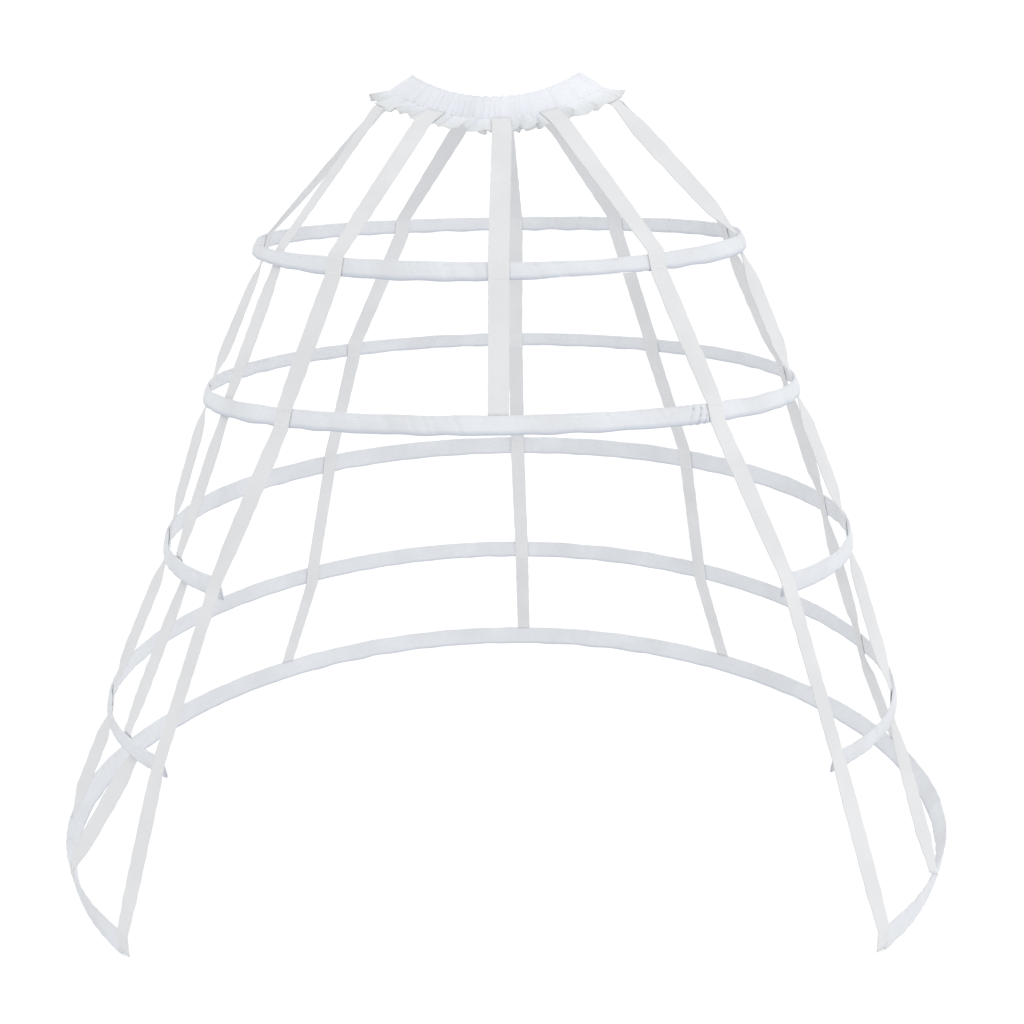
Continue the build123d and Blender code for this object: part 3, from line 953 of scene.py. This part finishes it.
# The camera was fitted to the photograph together with the hoops. Angles are in degrees.
CAMERA_DISTANCE = 1.4704
CAMERA_AZIMUTH = 1.130
CAMERA_LEVEL = -0.0689
CAMERA_PITCH = 14.511
CAMERA_ROLL = -0.889
CAMERA_LENS = 44.09
CAMERA_SHIFT = 0.00853


def plain_material(name, colour):
    """Matt studio paint with a faint unevenness."""
    nodes = Nodes(name)
    nodes.set("Base Color", nodes.mix(nodes.noise(1.5), colour, [c * 0.985 for c in colour]))
    nodes.set("Roughness", 0.95)
    return nodes.material


def make_floor():
    """Plain white studio floor that doesn't light the cage from below."""
    level = cad_box[0][2] - FLOOR_DROP
    bpy.ops.mesh.primitive_plane_add(size=FLOOR_SIZE, location=(0, 0, level))
    floor = bpy.context.object
    floor.name = "studio_floor"
    floor.data.materials.append(plain_material("white floor", (1.0, 1.0, 1.0, 1)))
    floor.visible_diffuse = False


def make_world():
    """White room: bright above the horizon, dimmer below it."""
    world = bpy.data.worlds.new("white studio")
    bpy.context.scene.world = world
    world.use_nodes = True
    tree = world.node_tree
    background = tree.nodes["Background"]
    place = tree.nodes.new("ShaderNodeTexCoord")
    parts = tree.nodes.new("ShaderNodeSeparateXYZ")
    ramp = tree.nodes.new("ShaderNodeValToRGB")
    scale = tree.nodes.new("ShaderNodeMapRange")
    scale.inputs["From Min"].default_value = -1.0
    tree.links.new(place.outputs["Generated"], parts.inputs[0])
    tree.links.new(parts.outputs[2], scale.inputs["Value"])
    tree.links.new(scale.outputs[0], ramp.inputs[0])
    tree.links.new(ramp.outputs[0], background.inputs["Color"])
    for stop, position, colour in zip(ramp.color_ramp.elements, HORIZON, (LOW_ROOM, HIGH_ROOM)):
        stop.position = position
        stop.color = colour
    background.inputs["Strength"].default_value = ROOM_STRENGTH


def make_light(name, location, size, power):
    """Soft square light that faces the middle of the cage."""
    data = bpy.data.lights.new(name, "AREA")
    data.size = size
    data.energy = power
    light = bpy.data.objects.new(name, data)
    bpy.context.scene.collection.objects.link(light)
    middle = Vector(np.mean(cad_box, axis=0))
    light.location = location
    light.rotation_euler = (middle - light.location).to_track_quat("-Z", "Y").to_euler()


def make_camera():
    """Camera in front of the cage, at the photograph's height, angle and framing."""
    azimuth, pitch, roll = (radians(a) for a in (CAMERA_AZIMUTH, CAMERA_PITCH, CAMERA_ROLL))
    right = np.array((np.cos(azimuth), np.sin(azimuth), 0.0))
    ahead = np.array((-np.sin(azimuth), np.cos(azimuth), 0.0))
    above = np.array((0.0, 0.0, 1.0))
    forward = np.cos(pitch) * ahead - np.sin(pitch) * above
    upward = np.cos(pitch) * above + np.sin(pitch) * ahead
    rolled_right = np.cos(roll) * right + np.sin(roll) * upward
    rolled_up = np.cos(roll) * upward - np.sin(roll) * right
    place = -ahead * CAMERA_DISTANCE + above * CAMERA_LEVEL
    matrix = np.identity(4)
    matrix[:3] = np.column_stack((rolled_right, rolled_up, -forward, place))
    data = bpy.data.cameras.new("camera")
    data.lens = CAMERA_LENS
    data.shift_x = CAMERA_SHIFT
    camera = bpy.data.objects.new("camera", data)
    bpy.context.scene.collection.objects.link(camera)
    camera.matrix_world = Matrix(matrix.tolist())
    bpy.context.scene.camera = camera


def main():
    """Everything in the scene."""
    bpy.context.scene.view_settings.view_transform = "Standard"
    make_camera()
    make_world()
    make_floor()
    make_light("key", KEY_PLACE, KEY_SIZE, KEY_POWER)
    finish_hidden_nodes()
    make_waistband()
    for number in HOOPS:
        make_casing(number)
    for seed, (name, tape) in enumerate(TAPES.items()):
        make_tape(name, tape, seed + 100)
    make_stitching()


main()
